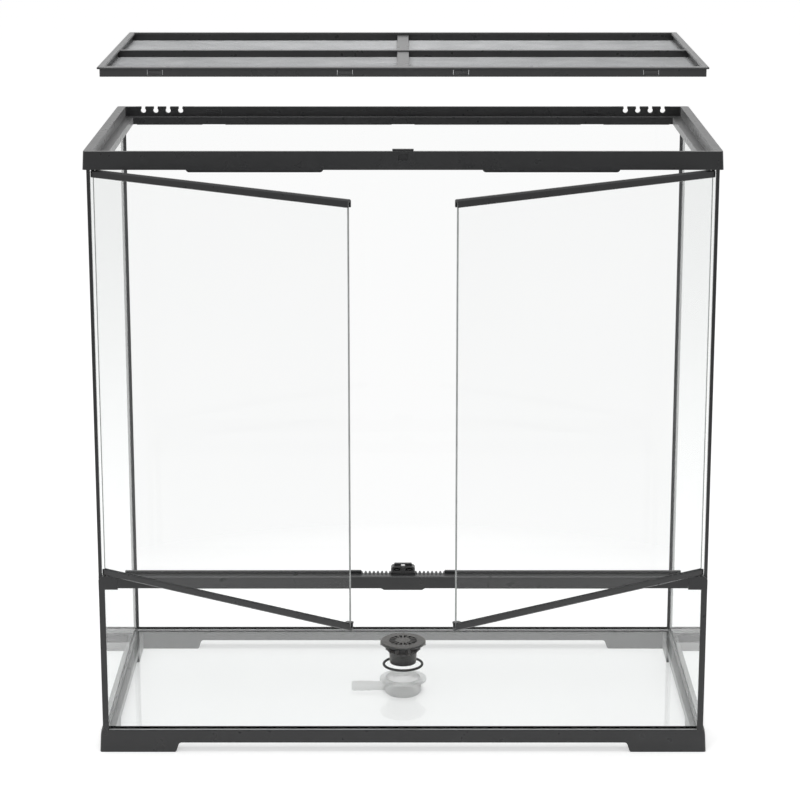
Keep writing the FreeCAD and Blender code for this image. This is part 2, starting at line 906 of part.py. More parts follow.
def drain_strainer():
    z0 = strainer_z + strainer_lift
    high = z0 + strainer_thick
    low = z0 - spigot_length
    rim = strainer_radius
    body = revolved([
        (0, high), (strainer_crown, high), (rim - strainer_edge, high - strainer_fall),
        (rim, high - strainer_edge), (rim, z0), (spigot_top, z0), (spigot_bottom, low),
        (spigot_bottom - spigot_wall, low), (spigot_top - spigot_wall, z0), (0, z0),
    ])
    cuts = []
    inner = strainer_slot_inner
    outer = strainer_slot_outer
    inner_half = math.pi * inner / strainer_slots - strainer_bar / 2
    outer_half = math.pi * outer / strainer_slots - strainer_bar / 2
    slot = drawn([
        (inner, -inner_half), (outer, -outer_half), (outer, outer_half), (inner, inner_half),
    ], "z", z0 - overlap, high + overlap)
    cuts += around(slot, strainer_slots, 180.0 / strainer_slots)
    top = z0 - spigot_window_drop
    half = spigot_window_width / 2
    opening = drawn([
        (-half, top - spigot_window_height), (half, top - spigot_window_height),
        (half, top, spigot_window_round), (-half, top, spigot_window_round),
    ], "y", 0, rim)
    cuts += around(opening, spigot_windows, 180.0 / spigot_windows)
    reach = spigot_top + bayonet_reach
    bayonet = drawn([
        (spigot_top - spigot_wall, z0), (reach, z0),
        (reach, z0 - bayonet_height + bayonet_nose), (spigot_top - spigot_wall, z0 - bayonet_height),
    ], "y", -bayonet_width / 2, bayonet_width / 2)
    tooth_low = z0 - rim_tooth_height
    tooth = drawn([
        (rim_tooth_inner, z0 + overlap), (rim_tooth_inner + rim_tooth_lean, tooth_low),
        (rim_tooth_outer, tooth_low), (rim_tooth_outer, z0 + overlap),
    ], "y", -rim_tooth_width / 2, rim_tooth_width / 2)
    bayonets = around(bayonet, spigot_windows)
    teeth = around(tooth, rim_tooth_count, 180.0 / rim_tooth_count)
    strainer = body.cut(cuts).fuse(bayonets + teeth)
    strainer.rotate(Vector(0, 0, 0), Vector(0, 0, 1), 180.0 / spigot_windows)
    return strainer


def drain_seal():
    cord = seal_cord / 2
    ring = Part.makeTorus(seal_outer - cord, cord)
    ring.translate(Vector(0, 0, seal_z + seal_lift + cord))
    return ring


def drain_elbow():
    bowl = drain_hole + elbow_wall
    low = elbow_clear
    body = revolved([
        (drain_hole, ledge_z), (elbow_radius, ledge_z), (elbow_radius, ledge_z - elbow_flange),
        (bowl, ledge_z - elbow_flange - elbow_fillet), (bowl, low + elbow_taper),
        (bowl - elbow_taper, low), (0, low), (0, low + elbow_floor),
        (drain_hole - elbow_taper, low + elbow_floor),
        (drain_hole, low + elbow_floor + elbow_taper),
    ])
    end = bowl + barb_length
    pipe = [(0, 0), (end, 0), (end, barb_radius - barb_step)]
    for i in range(barb_count):
        x = end - (i + 1) * barb_pitch + barb_pitch / 3
        pipe += [(x, barb_radius), (x, barb_radius - barb_step)]
    pipe += [(bowl - elbow_wall, barb_radius - barb_step), (0, barb_radius - barb_step)]
    face = Part.Face(outline(pipe, lambda p: Vector(-p.x, 0, p.y)))
    spigot = face.revolve(Vector(0, 0, 0), Vector(1, 0, 0), 360)
    spigot.translate(Vector(0, 0, barb_height))
    cavity = revolved([
        (0, ledge_z + overlap), (drain_hole, ledge_z + overlap),
        (drain_hole, low + elbow_floor + elbow_taper),
        (drain_hole - elbow_taper, low + elbow_floor), (0, low + elbow_floor),
    ])
    bore = Part.makeCylinder(barb_bore, end + overlap, Vector(0, 0, barb_height),
                             Vector(-1, 0, 0))
    return body.fuse(spigot.cut(cavity)).cut(bore)


# Doors, drawn shut at the right-hand side and then swung open

def swung(shape):
    shape = shape.copy()
    shape.rotate(Vector(pivot_x, pivot_y, 0), Vector(0, 0, 1), door_open)
    return shape


def rail_section(low, high, web_low):
    """A six-sided rail with a groove that holds the pane's edge."""
    y0 = rail_front
    y1 = rail_back
    c = rail_chamfer
    g0 = pivot_y - door_pane / 2 - bond
    g1 = pivot_y + door_pane / 2 + bond
    if web_low:
        return [
            (y0 + c, low), (y1 - c, low), (y1, low + c), (y1, high - c / 2), (y1 - c / 2, high),
            (g1, high), (g1, low + rail_web), (g0, low + rail_web), (g0, high),
            (y0 + c / 2, high), (y0, high - c / 2), (y0, low + c),
        ]
    return [
        (y0 + c, high), (y1 - c, high), (y1, high - c), (y1, low + c / 2), (y1 - c / 2, low),
        (g1, low), (g1, high - rail_web), (g0, high - rail_web), (g0, low),
        (y0 + c / 2, low), (y0, low + c / 2), (y0, high - c),
    ]


def bottom_rail():
    high = door_bottom + bottom_rail_height
    rail = drawn(rail_section(door_bottom, high, True), "x", door_gap / 2, door_x)
    socket = Part.makeCylinder(pin_radius + root_fit, pin_root,
                               Vector(pivot_x, pivot_y, door_bottom))
    notch_back = hook_back - hook_tip
    notch_front = notch_back - hook_notch
    notch_top = hook_bottom + tooth_bite + hook_fit
    root = rail_back - hook_root
    hook = drawn([
        (root, hook_bottom), (notch_front, hook_bottom), (notch_front, notch_top),
        (notch_back, notch_top), (notch_back, hook_bottom), (hook_back, hook_bottom + hook_lead),
        (hook_back, hook_top), (root, hook_top),
    ], "x", hook_inner, hook_inner + hook_width)
    return rail.cut(socket).fuse(hook)


def top_rail():
    low = door_top - top_rail_height
    rail = drawn(rail_section(low, door_top, False), "x", door_gap / 2, door_x)
    socket = Part.makeCylinder(pin_radius + root_fit, pin_root,
                               Vector(pivot_x, pivot_y, door_top - pin_root))
    return rail.cut(socket)


def door_sheet():
    return block(door_gap / 2 + rail_overhang, door_x - rail_overhang,
                 pivot_y - door_pane / 2, pivot_y + door_pane / 2,
                 door_bottom + rail_web, door_top - rail_web)


def hinge_pins():
    reach = pin_reach - door_clear
    low = Part.makeCylinder(pin_radius, reach + pin_root,
                            Vector(pivot_x, pivot_y, door_bottom - reach))
    high = Part.makeCylinder(pin_radius, pin_reach - door_head_clear + pin_root,
                             Vector(pivot_x, pivot_y, door_top - pin_root))
    return Part.makeCompound([low, high])


# Every piece is written under its own name

save("base_frame", base_frame())
save("bottom_glass", bottom_pane())
save("back_glass", back_pane())
save("front_window", front_window())
save_pair("glass", side_pane())
save("rear_seams", rear_seams())
save("floor_seams", floor_seams())
save("crossbar", crossbar())
save_pair("post", post())
save_pair("edge_trim", edge_trim())
save("vent_grille", vent_comb())
save_pair("vent_cover", vent_cover())
save("lock_housing", lock_housing())
save("lock_button", lock_button())
save("lock_spring", lock_spring())
save("top_frame", top_frame())
save("lid_catches", Part.makeCompound(catch_plates(0.0)))
save("lid_latch", lid_latch())
save_pair("inlet_slider", inlet_slider())
save("lid_frame", lid_frame())
save_pair("front_screen", lid_screen(-1))
save_pair("rear_screen", lid_screen(1))
save("drain_strainer", drain_strainer())
save("drain_seal", drain_seal())
save("drain_elbow", drain_elbow())
save_pair("door_glass", swung(door_sheet()))
save_pair("top_rail", swung(top_rail()))
save_pair("bottom_rail", swung(bottom_rail()))
save_pair("hinge_pins", swung(hinge_pins()))
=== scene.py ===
# %% [markdown]
# # A front-opening paludarium, dressed around its CAD frame
#
# The real object is a tall glass tank on a black moulded base. It has two glass doors above a fixed
# water window, a screen lid and a drain in its floor. The CAD model already holds every shape and
# every size, so this lesson only adds what the eye needs: panes with ground edges, mouldings whose
# edges are softened, a cloth of fine wire in the lid, and a finish for every surface.
# The frame comes first, because each new piece takes its place and its size from it.

# %% Load the frame
import json
import math

import bpy
from mathutils import Matrix, Vector


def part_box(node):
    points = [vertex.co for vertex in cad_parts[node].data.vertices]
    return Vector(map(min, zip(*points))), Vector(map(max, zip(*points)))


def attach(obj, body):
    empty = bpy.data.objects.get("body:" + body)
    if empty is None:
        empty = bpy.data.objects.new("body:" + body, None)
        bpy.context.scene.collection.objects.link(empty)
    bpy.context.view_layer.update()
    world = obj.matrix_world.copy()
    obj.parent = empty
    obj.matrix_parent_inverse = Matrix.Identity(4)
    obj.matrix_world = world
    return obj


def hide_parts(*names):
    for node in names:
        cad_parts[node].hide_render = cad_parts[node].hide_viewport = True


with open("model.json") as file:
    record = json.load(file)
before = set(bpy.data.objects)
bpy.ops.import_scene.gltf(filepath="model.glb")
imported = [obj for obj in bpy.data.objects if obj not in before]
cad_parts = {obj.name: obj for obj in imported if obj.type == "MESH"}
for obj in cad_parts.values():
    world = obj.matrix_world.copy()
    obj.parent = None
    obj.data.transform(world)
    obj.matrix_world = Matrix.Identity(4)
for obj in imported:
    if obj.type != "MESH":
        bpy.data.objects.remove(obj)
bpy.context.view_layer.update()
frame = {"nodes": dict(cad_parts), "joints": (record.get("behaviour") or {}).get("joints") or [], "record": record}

nodes = frame["nodes"]
body_of = {name: body for body, names in frame["record"]["behaviour"]["bodies"].items() for name in names}

# %% [markdown]
# ## The camera
#
# The photograph was taken from straight ahead and above, so that the floor of the tank and the top
# of the lid both show. A long lens keeps the uprights close to parallel. The camera could stay level
# and be shifted far down instead, as an architect's camera is, but that shift would cut the tank off
# in every other view. A tilt with a very small shift gives the same picture almost everywhere.

# %% Camera
camera_place = Vector((0.0, -3.712, 1.46))
camera_tilt = math.radians(13.86)
image_size = 800
focal_pixels = 2515
sensor_width = 36.0

camera_data = bpy.data.cameras.new("camera")
camera_data.sensor_width = sensor_width
camera_data.lens = focal_pixels / image_size * sensor_width
camera_data.shift_x = -3 / image_size
camera_data.shift_y = -0.05
camera = bpy.data.objects.new("camera", camera_data)
camera.location = camera_place
camera.rotation_euler = (math.pi / 2 - camera_tilt, 0, 0)
bpy.context.scene.collection.objects.link(camera)
bpy.context.scene.camera = camera
bpy.context.scene.view_settings.view_transform = "Standard"
print("lens", round(camera_data.lens, 1), "mm")

# %% [markdown]
# ## The studio
#
# The object stands on white paper with a pale room all round it. The paper could be lit until it
# burns out, but then the tank would be overlit too. So the paper is white itself, and only rays from
# the camera or through glass see a little more light on it, and most of that far from the tank. The
# shadow under the base stays, because the paper still takes its light from the lamps. Through glass,
# the far paper and the room have one even white that is not burnt out, so that the panes stand out
# as a faint grey and no horizon shows in them. A gloss sees the paper bright round the tank and
# darker far in front, as if the studio were dark there: this is why the front of the base is lighter
# than that of the top frame.
# A wide lamp hangs overhead and a small one stands in front. There is none behind the tank: its
# mirror image in the floor glass would hide all that lies below, and the pale room does as well.


# %% Helpers for node trees
def add_node(tree, kind, **settings):
    """A new node of a kind, with its properties set."""
    node = tree.nodes.new(kind)
    for name, value in settings.items():
        setattr(node, name, value)
    return node


def start_piece(name):
    """Leaves edit mode and deselects everything, so that the next operators act on a new piece only."""
    if bpy.context.object and bpy.context.object.mode != "OBJECT":
        bpy.ops.object.mode_set(mode="OBJECT")
    bpy.ops.object.select_all(action="DESELECT")
    print("making", name)


# %% Helpers for light that depends on the ray
def choose(tree, switch, if_off, if_on):
    """One strength for rays that have a switch off, and another for those that have it on."""
    choice = add_node(tree, "ShaderNodeMix")
    tree.links.new(switch, choice.inputs["Factor"])
    for side, strength in (("A", if_off), ("B", if_on)):
        if isinstance(strength, float):
            choice.inputs[side].default_value = strength
        else:
            tree.links.new(strength, choice.inputs[side])
    return choice.outputs["Result"]


def fade(tree, value, start, end, at_start, at_end):
    """A strength that changes evenly while a value goes from start to end, and stays level outside."""
    span = add_node(tree, "ShaderNodeMapRange")
    span.inputs["From Min"].default_value = start
    span.inputs["From Max"].default_value = end
    span.inputs["To Min"].default_value = at_start
    span.inputs["To Max"].default_value = at_end
    tree.links.new(value, span.inputs["Value"])
    return span.outputs["Result"]


# %% Paper floor
floor_size = 40.0
start_piece("paper_floor")
bpy.ops.mesh.primitive_plane_add(size=floor_size, location=(0, 0, 0))
floor = bpy.context.object
floor.name = "paper_floor"
print("floor", floor_size, "m across")

# %% Places on the paper
paper = bpy.data.materials.new("white_paper")
paper.use_nodes = True
tree = paper.node_tree
tree.nodes.clear()
place = add_node(tree, "ShaderNodeTexCoord")
distance = add_node(tree, "ShaderNodeVectorMath", operation="LENGTH")
along = add_node(tree, "ShaderNodeSeparateXYZ")
tree.links.new(place.outputs["Object"], distance.inputs[0])
tree.links.new(place.outputs["Object"], along.inputs[0])
print("paper has", len(tree.nodes), "nodes for its places")

# %% Light on the paper
# Places are metres from the middle of the tank, and a glow is a strength of emission.
near = 0.6
far = 2.6
even_from = 0.5
even_to = 0.9
dark_front = -2.2
bright_front = -0.5
near_glow = 0.5
far_glow = 0.62
glow_in_glass = 0.52
glow_in_gloss = 0.5

ray = add_node(tree, "ShaderNodeLightPath").outputs
in_gloss = fade(tree, along.outputs["Y"], dark_front, bright_front, 0.0, glow_in_gloss)
in_view = fade(tree, distance.outputs["Value"], near, far, near_glow, far_glow)
evenness = fade(tree, distance.outputs["Value"], even_from, even_to, 0.0, 1.0)
strength = choose(tree, ray["Is Glossy Ray"], 0.0, in_gloss)
strength = choose(tree, ray["Is Transmission Ray"], strength, glow_in_glass)
strength = choose(tree, ray["Is Camera Ray"], strength, in_view)
print("glow on the paper", near_glow, "near,", far_glow, "far,", glow_in_glass, "through glass")

# %% Paper finish
paper_tone = 0.86
white_in_glass = 1.0
diffuse = add_node(tree, "ShaderNodeBsdfDiffuse")
diffuse.inputs["Color"].default_value = (paper_tone, paper_tone, paper_tone, 1)
glow = add_node(tree, "ShaderNodeEmission")
lit_paper = add_node(tree, "ShaderNodeAddShader")
even_white = add_node(tree, "ShaderNodeEmission")
even_white.inputs["Strength"].default_value = white_in_glass
whole_paper = add_node(tree, "ShaderNodeMixShader")
out = add_node(tree, "ShaderNodeOutputMaterial")
tree.links.new(strength, glow.inputs["Strength"])
tree.links.new(diffuse.outputs[0], lit_paper.inputs[0])
tree.links.new(glow.outputs[0], lit_paper.inputs[1])
tree.links.new(choose(tree, ray["Is Transmission Ray"], 0.0, evenness), whole_paper.inputs["Fac"])
tree.links.new(lit_paper.outputs[0], whole_paper.inputs[1])
tree.links.new(even_white.outputs[0], whole_paper.inputs[2])
tree.links.new(whole_paper.outputs[0], out.inputs["Surface"])
floor.data.materials.append(paper)
print("paper is wired with", len(tree.nodes), "nodes")

# %% Pale room
room_light = 0.44
room_in_gloss = 0.8
room_in_view = 1.0
world = bpy.data.worlds.new("pale_room")
bpy.context.scene.world = world
world.use_nodes = True
tree = world.node_tree
tree.nodes.clear()
sky = add_node(tree, "ShaderNodeBackground")
sky.inputs["Color"].default_value = (1, 1, 1, 1)
out = add_node(tree, "ShaderNodeOutputWorld")
ray = add_node(tree, "ShaderNodeLightPath").outputs
strength = choose(tree, ray["Is Glossy Ray"], room_light, room_in_gloss)
strength = choose(tree, ray["Is Transmission Ray"], strength, white_in_glass)
strength = choose(tree, ray["Is Camera Ray"], strength, room_in_view)
tree.links.new(strength, sky.inputs["Strength"])
tree.links.new(sky.outputs[0], out.inputs["Surface"])
print("room light", room_light)


# %% Lamps
def soft_lamp(name, place, aim, size, power):
    """A square area lamp that looks at a point."""
    lamp_data = bpy.data.lights.new(name, "AREA")
    lamp_data.size = size
    lamp_data.energy = power
    lamp = bpy.data.objects.new(name, lamp_data)
    lamp.location = place
    lamp.rotation_euler = (Vector(aim) - Vector(place)).to_track_quat("-Z", "Y").to_euler()
    lamp.visible_camera = False
    lamp.visible_transmission = False
    bpy.context.scene.collection.objects.link(lamp)
    print(name, power, "W")


soft_lamp("overhead_lamp", (0.0, -0.2, 3.2), (0, 0, 0.4), 1.8, 40.0)
soft_lamp("front_lamp", (-1.2, -2.8, 2.8), (0, 0, 0.5), 0.9, 12.0)

# %% [markdown]
# ## Moulded plastic
#
# All the black pieces are injection moulded. Such plastic is never one flat black: the melt leaves
# faint clouds of tone, the tool leaves a fine grain, and the gloss changes a little from place to
# place. Three noises give that, one each for colour, gloss and grain. They read Object coordinates,
# so the grain has one scale on every piece and does not stretch. The faces that are seen at a slant
# look pale grey beside the black fronts, where grazing light falls on them, and a little sheen paints
# that light on: it is a painted highlight. In the photograph the lid is paler than the frames and the
# lock is darker, so each of them has a black of its own.


# %% Helpers for finishes
def new_finish(name):
    """A material with only its Principled shader, ready to be wired."""
    finish = bpy.data.materials.new(name)
    finish.use_nodes = True
    return finish, finish.node_tree, finish.node_tree.nodes["Principled BSDF"]


def noise(tree, scale, detail=3.0):
    """The value of a noise with so many features in a metre."""
    place = add_node(tree, "ShaderNodeTexCoord")
    cloud = add_node(tree, "ShaderNodeTexNoise")
    cloud.inputs["Scale"].default_value = scale
    cloud.inputs["Detail"].default_value = detail
    tree.links.new(place.outputs["Object"], cloud.inputs["Vector"])
    return cloud.outputs["Fac"]


middle_low = 0.3
middle_high = 0.7


def tones(tree, value, dark, light, socket):
    """Runs a colour from dark to light as the noise goes over its middle range."""
    ramp = add_node(tree, "ShaderNodeValToRGB")
    ramp.color_ramp.elements[0].position = middle_low
    ramp.color_ramp.elements[1].position = middle_high
    ramp.color_ramp.elements[0].color = (*dark, 1)
    ramp.color_ramp.elements[1].color = (*light, 1)
    tree.links.new(value, ramp.inputs["Fac"])
    tree.links.new(ramp.outputs["Color"], socket)


def between(tree, value, low, high, socket):
    """Runs a number from low to high as the noise goes over its middle range."""
    tree.links.new(fade(tree, value, middle_low, middle_high, low, high), socket)


def grain(tree, value, height, strength, socket):
    """A bump whose relief is so many metres high."""
    bump = add_node(tree, "ShaderNodeBump")
    bump.inputs["Distance"].default_value = height
    bump.inputs["Strength"].default_value = strength
    tree.links.new(value, bump.inputs["Height"])
    tree.links.new(bump.outputs["Normal"], socket)


def moulded(name, dark, light, gloss, grain_scale=1100, grain_height=0.000008):
    """A moulded plastic with clouds of tone, uneven gloss and a fine grain."""
    finish, tree, surface = new_finish(name)
    tones(tree, noise(tree, 22, 4), dark, light, surface.inputs["Base Color"])
    between(tree, noise(tree, 60, 2), gloss[0], gloss[1], surface.inputs["Roughness"])
    grain(tree, noise(tree, grain_scale, 2), grain_height, 0.35, surface.inputs["Normal"])
    return finish


def slant_sheen(finish, weight, tint, mirroring):
    """A painted highlight: a sheen that lightens faces seen at a slant, and how strongly the surface below
    mirrors.
    """
    surface = finish.node_tree.nodes["Principled BSDF"]
    surface.inputs["Sheen Weight"].default_value = weight
    surface.inputs["Sheen Roughness"].default_value = 0.35
    surface.inputs["Sheen Tint"].default_value = (*tint, 1)
    surface.inputs["Specular IOR Level"].default_value = mirroring


# %% Plastic finishes
frame_black = moulded("frame_black", (0.0155, 0.016, 0.0172), (0.0195, 0.02, 0.0212), (0.27, 0.32))
vent_grey = moulded("vent_grey", (0.34, 0.341, 0.343), (0.39, 0.391, 0.394), (0.4, 0.48))
drain_black = moulded("drain_black", (0.008, 0.0072, 0.0065), (0.011, 0.01, 0.0092), (0.3, 0.34))
lock_black = moulded("lock_black", (0.01, 0.0102, 0.011), (0.014, 0.0142, 0.015), (0.27, 0.32))
lid_black = moulded("lid_black", (0.042, 0.0425, 0.0435), (0.048, 0.0485, 0.0495), (0.27, 0.32))
# A painted highlight: a sheen lightens the faces of these blacks that are seen at a slant.
for finish in (frame_black, lock_black, lid_black):
    slant_sheen(finish, 0.45, (1.0, 1.0, 1.0), 0.55)
# The strainer's sheen is tinted warm: a painted highlight that makes its flange top look brownish grey.
slant_sheen(drain_black, 0.6, (1.0, 0.9, 0.82), 0.6)
print("plastics", frame_black.name, vent_grey.name, drain_black.name, lock_black.name, lid_black.name)

# %% [markdown]
# ## Rubber, silicone and steel
#
# The rear seams are black silicone that was smoothed by a thumb, so they have a soft satin gloss with
# slow waves in it, and the bead round the floor is clear. The seal is matt rubber. The pins and the
# spring are drawn steel, where the grain runs along the piece, so its noise is stretched.


# %% Helpers for steel
def stretched_noise(tree, scales, detail=2.0):
    """A noise that is drawn out, with its own number of features along each axis."""
    place = add_node(tree, "ShaderNodeTexCoord")
    stretch = add_node(tree, "ShaderNodeMapping")
    stretch.inputs["Scale"].default_value = scales
    cloud = add_node(tree, "ShaderNodeTexNoise")
    cloud.inputs["Scale"].default_value = 1.0
    cloud.inputs["Detail"].default_value = detail
    tree.links.new(place.outputs["Object"], stretch.inputs["Vector"])
    tree.links.new(stretch.outputs["Vector"], cloud.inputs["Vector"])
    return cloud.outputs["Fac"]


def drawn_steel(name, dark, light, scales):
    """Steel with fine lines along the way it was drawn."""
    finish, tree, surface = new_finish(name)
    surface.inputs["Metallic"].default_value = 1.0
    lines = stretched_noise(tree, scales)
    tones(tree, lines, dark, light, surface.inputs["Base Color"])
    between(tree, lines, 0.22, 0.4, surface.inputs["Roughness"])
    grain(tree, lines, 0.00003, 0.3, surface.inputs["Normal"])
    return finish


# %% Rubber, silicone and steel
silicone = moulded("silicone", (0.03, 0.031, 0.033), (0.045, 0.046, 0.049), (0.3, 0.42), 90, 0.0004)
seal_rubber = moulded("seal_rubber", (0.012, 0.012, 0.012), (0.02, 0.02, 0.02), (0.55, 0.7), 700, 0.0001)
pin_steel = drawn_steel("pin_steel", (0.5, 0.5, 0.5), (0.68, 0.68, 0.67), (900, 900, 30))
spring_steel = drawn_steel("spring_steel", (0.42, 0.42, 0.43), (0.6, 0.6, 0.6), (60, 1200, 1200))
screen_wire = moulded("screen_wire", (0.35, 0.355, 0.36), (0.43, 0.435, 0.44), (0.36, 0.44), 2500, 0.00003)
screen_wire.node_tree.nodes["Principled BSDF"].inputs["Metallic"].default_value = 0.8
print("steels", pin_steel.name, spring_steel.name, screen_wire.name)

# %% Clear silicone
clear_silicone, tree, surface = new_finish("clear_silicone")
surface.inputs["Transmission Weight"].default_value = 1.0
surface.inputs["IOR"].default_value = 1.12
tones(tree, noise(tree, 60, 3), (0.92, 0.93, 0.93), (0.97, 0.97, 0.97), surface.inputs["Base Color"])
between(tree, noise(tree, 80, 2), 0.1, 0.2, surface.inputs["Roughness"])
grain(tree, noise(tree, 60, 2), 0.0003, 0.2, surface.inputs["Normal"])
print("finishes so far", len(bpy.data.materials))

# %% [markdown]
# ## Glass
#
# Float glass is clear through its faces and grey-green along its cut edges. The clear part bends light
# as glass does, but a lamp's shadow ray would stop at it and leave the tank dark inside, so shadow
# rays and soft bounces go straight through. So do rays that a gloss has mirrored, which would only
# make the black plastic look speckled. A slow noise leaves a trace of haze. In a room that is
# white all round, every pane would lay a veil of mirrored white over the black pieces behind it, so
# the panes mirror less than real glass does, and the water window in front of the drain less still.
# The floor, seen at a slant, mirrors least, so that no image of the strainer stands in it. It has a
# soft veil instead: a rough coat, like the film that water leaves.
# The ground edge is a finish of its own: rough, darker, and only a little light comes through. The
# elbow below the floor is pale plastic that lets light through without being clear, which is some
# transmission behind a rough surface. It also gets a faint painted glow, an emission that makes it
# shine a little, as light that wanders inside its walls would. The drilled wall of the drain hole is
# frosted in the same way.


# %% Helpers for glass
def let_light_through(tree, surface, tint):
    """Shadow rays, soft bounces and mirrored rays pass the glass as if it were a clear tint."""
    path = add_node(tree, "ShaderNodeLightPath")
    soft = add_node(tree, "ShaderNodeMath", operation="MAXIMUM")
    mirrored = add_node(tree, "ShaderNodeMath", operation="SUBTRACT")
    passing = add_node(tree, "ShaderNodeMath", operation="MAXIMUM")
    tree.links.new(path.outputs["Is Shadow Ray"], soft.inputs[0])
    tree.links.new(path.outputs["Is Diffuse Ray"], soft.inputs[1])
    tree.links.new(path.outputs["Is Glossy Ray"], mirrored.inputs[0])
    tree.links.new(path.outputs["Is Transmission Ray"], mirrored.inputs[1])
    tree.links.new(soft.outputs[0], passing.inputs[0])
    tree.links.new(mirrored.outputs[0], passing.inputs[1])
    clear = add_node(tree, "ShaderNodeBsdfTransparent")
    clear.inputs["Color"].default_value = tint
    choice = add_node(tree, "ShaderNodeMixShader")
    tree.links.new(passing.outputs[0], choice.inputs["Fac"])
    tree.links.new(surface.outputs[0], choice.inputs[1])
    tree.links.new(clear.outputs[0], choice.inputs[2])
    tree.links.new(choice.outputs[0], tree.nodes["Material Output"].inputs["Surface"])


def glass(name, gloss):
    """Clear glass whose faces mirror as much as gloss says."""
    finish, tree, surface = new_finish(name)
    surface.inputs["Transmission Weight"].default_value = 1.0
    surface.inputs["IOR"].default_value = 1.5
    surface.inputs["Specular Tint"].default_value = (gloss, gloss, gloss, 1)
    colour = surface.inputs["Base Color"]
    tones(tree, noise(tree, 3, 2), (0.972, 0.976, 0.975), (0.98, 0.983, 0.982), colour)
    between(tree, noise(tree, 5, 3), 0.0, 0.012, surface.inputs["Roughness"])
    let_light_through(tree, surface, (0.97, 0.975, 0.973, 1))
    return finish


# %% Clear panes
clear_glass = glass("clear_glass", 0.3)
window_glass = glass("window_glass", 0.2)
floor_glass = glass("floor_glass", 0.06)
surface = floor_glass.node_tree.nodes["Principled BSDF"]
surface.inputs["Coat Weight"].default_value = 0.55
surface.inputs["Coat Roughness"].default_value = 0.4
print("glass", clear_glass.name, window_glass.name, floor_glass.name)


# %% Frosted finishes
def frosted(name, clearness):
    """A pale finish that lets some light through without being clear."""
    finish, tree, surface = new_finish(name)
    surface.inputs["Transmission Weight"].default_value = clearness
    surface.inputs["IOR"].default_value = 1.15
    tones(tree, noise(tree, 45, 4), (0.92, 0.923, 0.92), (0.97, 0.97, 0.967), surface.inputs["Base Color"])
    between(tree, noise(tree, 80, 2), 0.3, 0.42, surface.inputs["Roughness"])
    grain(tree, noise(tree, 500, 2), 0.00002, 0.2, surface.inputs["Normal"])
    return finish


elbow_clear = frosted("elbow_clear", 0.6)
hole_edge = frosted("hole_edge", 0.3)
# A faint painted glow: emission that lightens the pale elbow.
surface = elbow_clear.node_tree.nodes["Principled BSDF"]
surface.inputs["Emission Strength"].default_value = 0.035
print("frosted", elbow_clear.name, hole_edge.name)

# %% Ground edge
glass_edge, tree, surface = new_finish("glass_edge")
surface.inputs["Transmission Weight"].default_value = 0.35
surface.inputs["IOR"].default_value = 1.5
tones(tree, noise(tree, 60, 3), (0.22, 0.23, 0.228), (0.32, 0.335, 0.33), surface.inputs["Base Color"])
between(tree, noise(tree, 300, 2), 0.3, 0.5, surface.inputs["Roughness"])
grain(tree, noise(tree, 1500, 2), 0.0001, 0.3, surface.inputs["Normal"])
let_light_through(tree, surface, (0.5, 0.53, 0.52, 1))
print("edge", glass_edge.name)

# %% [markdown]
# ## The panes
#
# A pane is a sheet whose corners were taken off with a stone, so that it can be handled. A cube is
# added at the size of its CAD node, and all its edges get a small bevel in edit mode. The faces that
# look along the sheet's thickness stay clear, and all the others are ground edge. The doors are
# modelled shut, where they are square to the axes, and then turned about their hinge.


# %% Helpers for pieces
edge_bevel = 0.0007


def cube_between(name, low, high):
    """A cube primitive that fills a box, with its place and size in its mesh."""
    start_piece(name)
    bpy.ops.mesh.primitive_cube_add(size=1, location=(Vector(low) + Vector(high)) / 2)
    piece = bpy.context.object
    piece.name = name
    piece.data.name = name
    bpy.ops.transform.resize(value=Vector(high) - Vector(low))
    bpy.ops.object.transform_apply(location=True, rotation=True, scale=True)
    return piece


def bevel_all(offset, segments):
    """Bevels every edge of the active piece in edit mode."""
    bpy.ops.object.mode_set(mode="EDIT")
    bpy.ops.mesh.select_all(action="SELECT")
    bpy.ops.mesh.bevel(offset=offset, segments=segments, affect="EDGES")
    bpy.ops.object.mode_set(mode="OBJECT")


def glaze(piece, thin_axis, finish, edge_finish=glass_edge):
    """Clear glass on the two large faces, and another finish on the edges."""
    piece.data.materials.clear()
    piece.data.materials.append(finish)
    piece.data.materials.append(edge_finish)
    for face in piece.data.polygons:
        face.material_index = 0 if abs(face.normal[thin_axis]) > 0.99 else 1


def stand_for(piece, node):
    """The piece takes the node's place and moves with the node's body."""
    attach(piece, body_of[node])
    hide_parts(node)


# %% Fixed panes
thin_axis_of = {"back_glass": 1, "front_window": 1, "right_glass": 0, "left_glass": 0}
for node, thin_axis in thin_axis_of.items():
    pane = cube_between(node + "_pane", *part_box(node))
    bevel_all(edge_bevel, 1)
    glaze(pane, thin_axis, window_glass if node == "front_window" else clear_glass)
    stand_for(pane, node)
print("fixed panes", list(thin_axis_of))

# %% Floor pane with its drain hole
drain_hole_radius = 0.026
floor_low, floor_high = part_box("bottom_glass")
floor_pane = cube_between("bottom_glass_pane", floor_low, floor_high)
start_piece("drain_hole_tool")
bpy.ops.mesh.primitive_cylinder_add(vertices=96, radius=drain_hole_radius, depth=0.05,
                                    location=(0, 0, floor_low.z))
drill = bpy.context.object
start_piece("bottom_glass_pane")
floor_pane.select_set(True)
bpy.context.view_layer.objects.active = floor_pane
cut = floor_pane.modifiers.new("drain_hole", "BOOLEAN")
cut.operation = "DIFFERENCE"
cut.object = drill
bpy.ops.object.modifier_apply(modifier=cut.name)
ground = floor_pane.modifiers.new("ground_edges", "BEVEL")
ground.width = edge_bevel
ground.segments = 1
bpy.ops.object.modifier_apply(modifier=ground.name)
bpy.data.objects.remove(drill)
glaze(floor_pane, 2, floor_glass, hole_edge)
stand_for(floor_pane, "bottom_glass")
print("floor pane", len(floor_pane.data.polygons), "faces")

